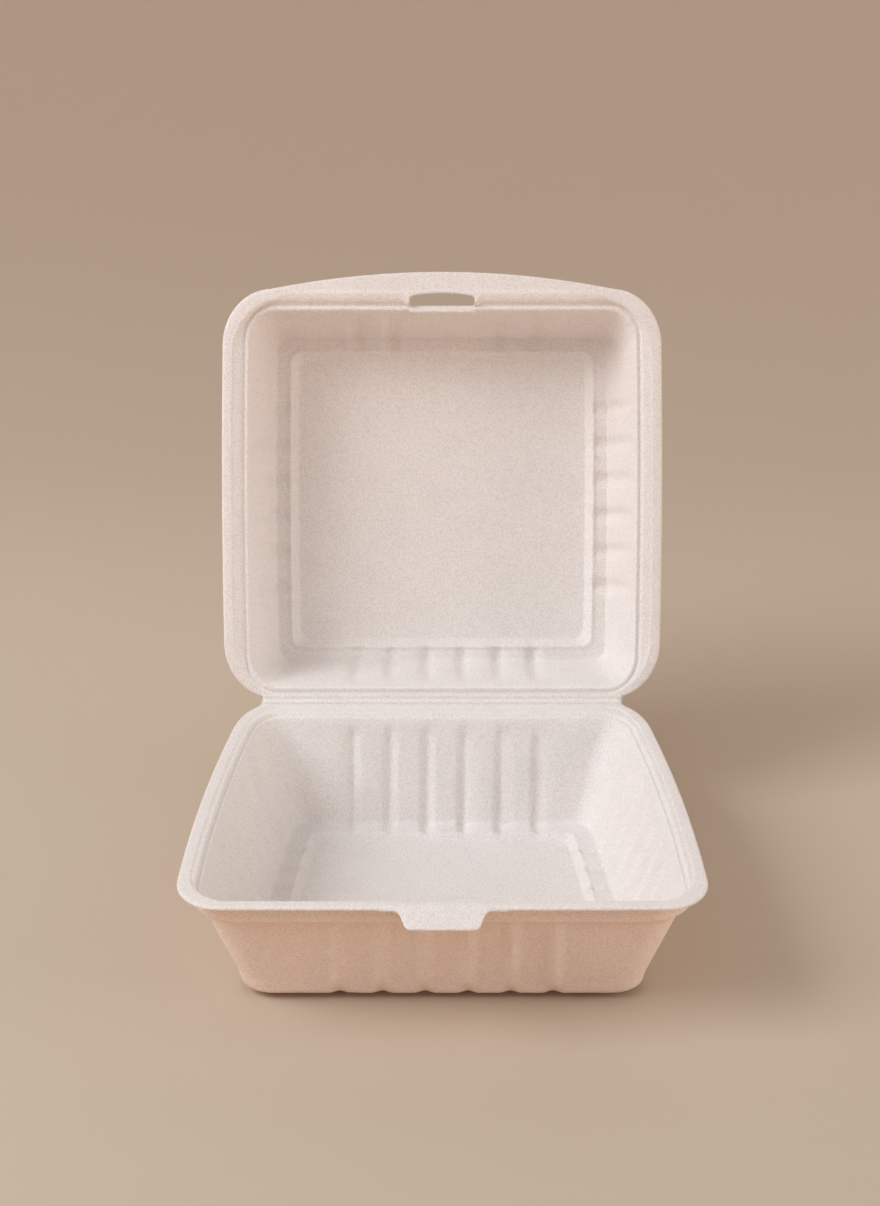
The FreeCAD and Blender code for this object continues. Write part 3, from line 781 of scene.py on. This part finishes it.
def foam_material():
    """Pressed EPS foam. The eye sees a soft matt white with a sparkling fine grain."""
    material = bpy.data.materials.new("pressed_eps_foam")
    material.use_nodes = True
    tree = material.node_tree
    tree.nodes.clear()
    place = add(tree, "ShaderNodeTexCoord").outputs["Object"]
    cells = add(tree, "ShaderNodeTexVoronoi", {"feature": "F1"},
                {"Vector": place, "Scale": 1 / CELL}).outputs
    cloud = add(tree, "ShaderNodeTexNoise", None,
                {"Vector": place, "Scale": 1 / CLOUD, "Detail": 3.0}).outputs["Fac"]
    grain = add(tree, "ShaderNodeMapRange", None,
                {"Value": cells["Distance"], "From Min": 0.0, "From Max": 0.8,
                 "To Min": 0.0, "To Max": 1.0}).outputs["Result"]
    tint = add(tree, "ShaderNodeMix", {"data_type": "RGBA"},
               {"Factor": grain, 6: linear("#fdf9f7"), 7: linear("#e9e2de")}).outputs[2]
    soft_tint = add(tree, "ShaderNodeMix", {"data_type": "RGBA", "blend_type": "MULTIPLY"},
                    {"Factor": 0.06, 6: tint, 7: cloud}).outputs[2]
    dents = add(tree, "ShaderNodeBump", None,
                {"Strength": 0.55, "Distance": 0.00025, "Height": grain}).outputs["Normal"]
    # light spreads under 2 mm in the foam, red furthest
    skin = add(tree, "ShaderNodeBsdfPrincipled", None,
               {"Base Color": soft_tint, "Roughness": 0.52, "IOR": 1.45,
                "Subsurface Weight": 0.22, "Subsurface Radius": (1.0, 0.85, 0.7),
                "Subsurface Scale": 0.0018, "Normal": dents}).outputs["BSDF"]
    add(tree, "ShaderNodeOutputMaterial", None, {"Surface": skin})
    return material


foam = foam_material()
print("material:", foam.name)

# %% [markdown]
# ## The base
#
# The base stands for the CAD solid of the same form. Its flutes run down the walls and
# over the ledge. At the foot outside they press the foam in, which is why the lower
# edge of the real box is scalloped.

# %% Make the base
BASE_FLUTE = dict(count=FLUTE_COUNT, pitch=PITCH * MM, width=6.8 * MM, flank=3.5 * MM,
                  depth=1.35 * MM)

base_mesh, base_grid = shell("base_foam", soften(section(BASE)), base_half, base_front,
                             base_world)
face_outwards(base_mesh)
base_shell = press_flutes(base_mesh, TREE, "base_foam", foam, **BASE_FLUTE)
print("base_foam:", len(base_shell.data.polygons), "faces", base_grid.shape)

# %% [markdown]
# ## The lid and its slot
#
# The lid has the same walls but shallower, with wider and softer flutes, and its front
# wall has no flutes behind the slot. The slot is opened by leaving out faces of the rim
# on both sides of the foam and bridging the two openings, which keeps the mesh closed.

# %% The slot
def open_slot(mesh, grid):
    """Removes the rim's faces inside the slot, above and below, and joins the edges."""
    count = grid.shape[1]
    guide = grid[SLOT_RINGS[True][0]]
    inside = (np.abs(guide[:, 0]) < SLOT_HALF + 0.12) & (guide[:, 1] > MIDDLE)
    columns = np.nonzero(inside)[0]
    keys = set()
    for low, high, _, _ in SLOT_RINGS.values():
        low, high = min(low, high), max(low, high)
        keys.update((r, c) for r in range(low, high) for c in columns[:-1])
    work = bmesh.new()
    work.from_mesh(mesh)
    work.faces.ensure_lookup_table()
    gone = [work.faces[r * count + c] for r, c in keys]
    bmesh.ops.delete(work, geom=gone, context="FACES_ONLY")
    bmesh.ops.delete(work, geom=[e for e in work.edges if not e.link_faces], context="EDGES")
    bmesh.ops.delete(work, geom=[p for p in work.verts if not p.link_edges], context="VERTS")
    bmesh.ops.bridge_loops(work, edges=[e for e in work.edges if e.is_boundary])
    work.to_mesh(mesh)
    work.free()
    print("slot: left out", len(gone), "faces over", len(columns), "columns")


# %% Make the lid
PLAIN_HALF = 12.6                    # the front wall is plain this far from its middle

lid_rings = soften(section(LID))
find_slot_rings(lid_rings)
lid_mesh, lid_grid = shell("lid_foam", lid_rings, lid_half, lid_front, lid_world)
along = np.array([a.value for a in lid_mesh.attributes["along"].data])
along = along.reshape(lid_grid.shape[:2])
on_front_wall = lid_grid[:, :, 1] > MIDDLE + 40
along[on_front_wall & (np.abs(lid_grid[:, :, 0]) < PLAIN_HALF)] = NO_FLUTE * MM
lid_mesh.attributes["along"].data.foreach_set("value", along.astype(np.float32).ravel())
open_slot(lid_mesh, lid_grid)
face_outwards(lid_mesh)
LID_FLUTE = dict(BASE_FLUTE, width=7.8 * MM, flank=3.8 * MM, depth=1.15 * MM)
lid_shell = press_flutes(lid_mesh, TREE, "lid_foam", foam, **LID_FLUTE)
print("lid_foam:", len(lid_shell.data.polygons), "faces")

# %% [markdown]
# ## The fold
#
# Between the two rims the foam is pressed thin in two creases with a soft bead
# between them. On the real box it is the part that bends. Here it is one fixed strip,
# shaped for the open lid, and it rides on neither half.

# %% The section of the fold
BEAD_R, FOLD_HALF = 0.95, 61.5


def fold_section():
    """Corners of the strip's section as (y, z), from the base's rim over the bead."""
    c, s = math.cos(LEAN), math.sin(LEAN)

    def lid_point(v, w):
        return HINGE_Y + v * s + w * c, HINGE_Z + v * c - w * s

    top = [(69.3, 40.78), (69.9, 40.7), (70.25, 40.66)]
    bead = [(HINGE_Y + BEAD_R * math.cos(a), HINGE_Z + BEAD_R * math.sin(a))
            for a in np.radians(np.linspace(202, 60, 9))]
    rise = [lid_point(0.95, 0.9), lid_point(1.3, 0.75), lid_point(1.7, 0.6), lid_point(2.4, 0.6)]
    under = [lid_point(2.4, 1.7), lid_point(1.4, 1.75), (HINGE_Y + 0.9, HINGE_Z - 1.0),
             (HINGE_Y - 0.6, HINGE_Z - 1.3), (69.9, 39.4), (69.3, 39.4)]
    return top + bead + rise + under


# %% Make the fold
def fold_strip():
    loop = fold_section()
    # the ends are hollow arcs: shortest at the bead and longer towards both rims
    halves = []
    for y, z in loop:
        off = math.hypot(y - HINGE_Y - 0.4, z - HINGE_Z - 0.4)
        halves.append(FOLD_HALF + 1.5 * min(1.0, off / 2.4) ** 2)
    shares = np.linspace(-1, 1, 126)
    points, quads = [], []
    n = len(loop)
    for i, share in enumerate(shares):
        points.extend([(half * share, y, z) for half, (y, z) in zip(halves, loop)])
        if i:
            a, b = (i - 1) * n, i * n
            quads.extend([(a + j, a + (j + 1) % n, b + (j + 1) % n, b + j) for j in range(n)])
    quads.append(tuple(range(n)))
    quads.append(tuple(reversed(range((len(shares) - 1) * n, len(shares) * n))))
    mesh = bpy.data.meshes.new("fold_foam")
    mesh.from_pydata([(x * MM, y * MM, z * MM) for x, y, z in points], [], quads)
    face_outwards(mesh)
    mesh.materials.append(foam)
    made = bpy.data.objects.new("fold_foam", mesh)
    bpy.context.scene.collection.objects.link(made)
    return made


fold = fold_strip()
print("fold_foam:", len(fold.data.polygons), "faces")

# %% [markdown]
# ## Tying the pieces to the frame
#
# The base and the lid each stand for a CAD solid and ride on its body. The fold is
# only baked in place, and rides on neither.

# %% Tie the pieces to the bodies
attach(base_shell, "base")
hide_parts("base_tray")
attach(lid_shell, "lid")
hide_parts("lid")
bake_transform(fold)
print("pieces:", base_shell.name, lid_shell.name, fold.name)

# %% [markdown]
# ## The studio
#
# A plain pale sweep is a floor that curves up into a backdrop. A large soft key lamp
# stands on the left, a reflector on the right lifts its shadows, and two weak soft
# boxes light the box from the front and from behind. The world is nearly even, and a
# little warmer at the horizon.

# %% The paint of the sweep
def sweep_paint():
    """Matt paint with painted shade: it turns a little darker towards the back."""
    material = bpy.data.materials.new("matt_painted_sweep")
    material.use_nodes = True
    tree = material.node_tree
    tree.nodes.clear()
    place = add(tree, "ShaderNodeSeparateXYZ", None,
                {0: add(tree, "ShaderNodeNewGeometry").outputs["Position"]}).outputs
    # painted shade: the paint mixes from the front colour to a darker one further back
    away = add(tree, "ShaderNodeMapRange", {"interpolation_type": "SMOOTHSTEP"},
               {"Value": place["Y"], "From Min": 0.1, "From Max": 0.9}).outputs["Result"]
    paint = add(tree, "ShaderNodeMix", {"data_type": "RGBA"},
                {"Factor": away, 6: linear("#c7b7a4"), 7: linear("#b4a08d")}).outputs[2]
    rays = add(tree, "ShaderNodeLightPath").outputs
    seen = rays["Is Camera Ray"]
    for kind in ("Is Glossy Ray", "Is Transmission Ray"):
        seen = add(tree, "ShaderNodeMath", {"operation": "MAXIMUM"},
                   {0: seen, 1: rays[kind]}).outputs[0]
    # the light that the floor throws back is warm in front of the box, plain behind it
    behind = add(tree, "ShaderNodeMapRange", {"interpolation_type": "SMOOTHSTEP"},
                 {"Value": place["Y"], "From Min": 0.0, "From Max": 0.3}).outputs["Result"]
    bounce = add(tree, "ShaderNodeMix", {"data_type": "RGBA"},
                 {"Factor": behind, 6: linear("#dcae88"), 7: linear("#dfd1c4")}).outputs[2]
    tint = add(tree, "ShaderNodeMix", {"data_type": "RGBA"},
               {"Factor": seen, 6: bounce, 7: paint}).outputs[2]
    skin = add(tree, "ShaderNodeBsdfPrincipled", None,
               {"Base Color": tint, "Roughness": 0.9}).outputs["BSDF"]
    add(tree, "ShaderNodeOutputMaterial", None, {"Surface": skin})
    return material


# %% Floor and backdrop, in metres
FLOOR_FRONT, FLOOR_BACK, CURVE, WALL_HIGH, SWEEP_HALF = -2.5, 0.45, 0.6, 3.5, 3.5


def sweep():
    profile = [(FLOOR_FRONT, 0.0), (FLOOR_BACK, 0.0)]
    for step in range(1, 25):
        a = math.radians(90 * step / 24)
        profile.append((FLOOR_BACK + CURVE * math.sin(a), CURVE * (1 - math.cos(a))))
    profile.append((FLOOR_BACK + CURVE, WALL_HIGH))
    points, quads = [], []
    for y, z in profile:
        points.extend([(-SWEEP_HALF, y, z), (SWEEP_HALF, y, z)])
    for i in range(len(profile) - 1):
        a = 2 * i
        quads.append((a, a + 1, a + 3, a + 2))
    mesh = bpy.data.meshes.new("studio_sweep")
    mesh.from_pydata(points, [], quads)
    mesh.polygons.foreach_set("use_smooth", [True] * len(mesh.polygons))
    mesh.materials.append(sweep_paint())
    made = bpy.data.objects.new("studio_sweep", mesh)
    bpy.context.scene.collection.objects.link(made)


sweep()

# %% Lamps
def area_lamp(name, place, aim, size, power, colour):
    """A square lamp at a place, turned towards its aim, with its power in watts."""
    data = bpy.data.lights.new(name, "AREA")
    data.shape = "SQUARE"
    data.size = size
    data.energy = power
    data.color = linear(colour)[:3]
    lamp = bpy.data.objects.new(name, data)
    lamp.location = place
    lamp.rotation_euler = (Vector(aim) - Vector(place)).to_track_quat("-Z", "Y").to_euler()
    bpy.context.scene.collection.objects.link(lamp)


area_lamp("key", (-0.95, -0.3, 0.88), (0.0, 0.03, 0.05), 0.7, 10.3, "#f9fbff")
area_lamp("top_softbox", (-0.4, -0.8, 1.2), (0.0, 0.05, 0.08), 1.0, 1.1, "#ffffff")
area_lamp("back_softbox", (0.35, 0.95, 0.58), (0.0, 0.1, 0.08), 0.6, 0.8, "#ffffff")
area_lamp("reflector", (1.3, -0.25, 0.35), (0.0, 0.03, 0.08), 0.8, 6.1, "#fff1e6")
print("lamps:", [lamp.name for lamp in bpy.data.lights])

# %% World
world = bpy.data.worlds.new("soft_room")
world.use_nodes = True
air = world.node_tree
air.nodes.clear()
height = add(air, "ShaderNodeSeparateXYZ", None,
             {0: add(air, "ShaderNodeTexCoord").outputs["Generated"]}).outputs["Z"]
upward = add(air, "ShaderNodeMapRange", {"interpolation_type": "SMOOTHSTEP"},
             {"Value": height, "From Min": 0.0, "From Max": 0.6}).outputs["Result"]
glow = add(air, "ShaderNodeMix", {"data_type": "RGBA"},
           {"Factor": upward, 6: linear("#f8e8da"), 7: linear("#fdfcfb")}).outputs[2]
sky = add(air, "ShaderNodeBackground", None, {"Color": glow, "Strength": 0.48}).outputs[0]
add(air, "ShaderNodeOutputWorld", None, {"Surface": sky})
bpy.context.scene.world = world

# %% Camera
CAMERA_PITCH = math.radians(21.4)
camera_data = bpy.data.cameras.new("camera")
camera_data.lens = 63.2
camera_data.sensor_width = 36.0
camera_data.clip_end = 20.0
camera = bpy.data.objects.new("camera", camera_data)
camera.location = (-0.0007, -0.5987, 0.3405)
camera.rotation_euler = (math.pi / 2 - CAMERA_PITCH, 0.0, 0.0)
bpy.context.scene.collection.objects.link(camera)
bpy.context.scene.camera = camera
bpy.context.scene.view_settings.view_transform = "Standard"
print("camera at", tuple(round(v, 3) for v in camera.location))
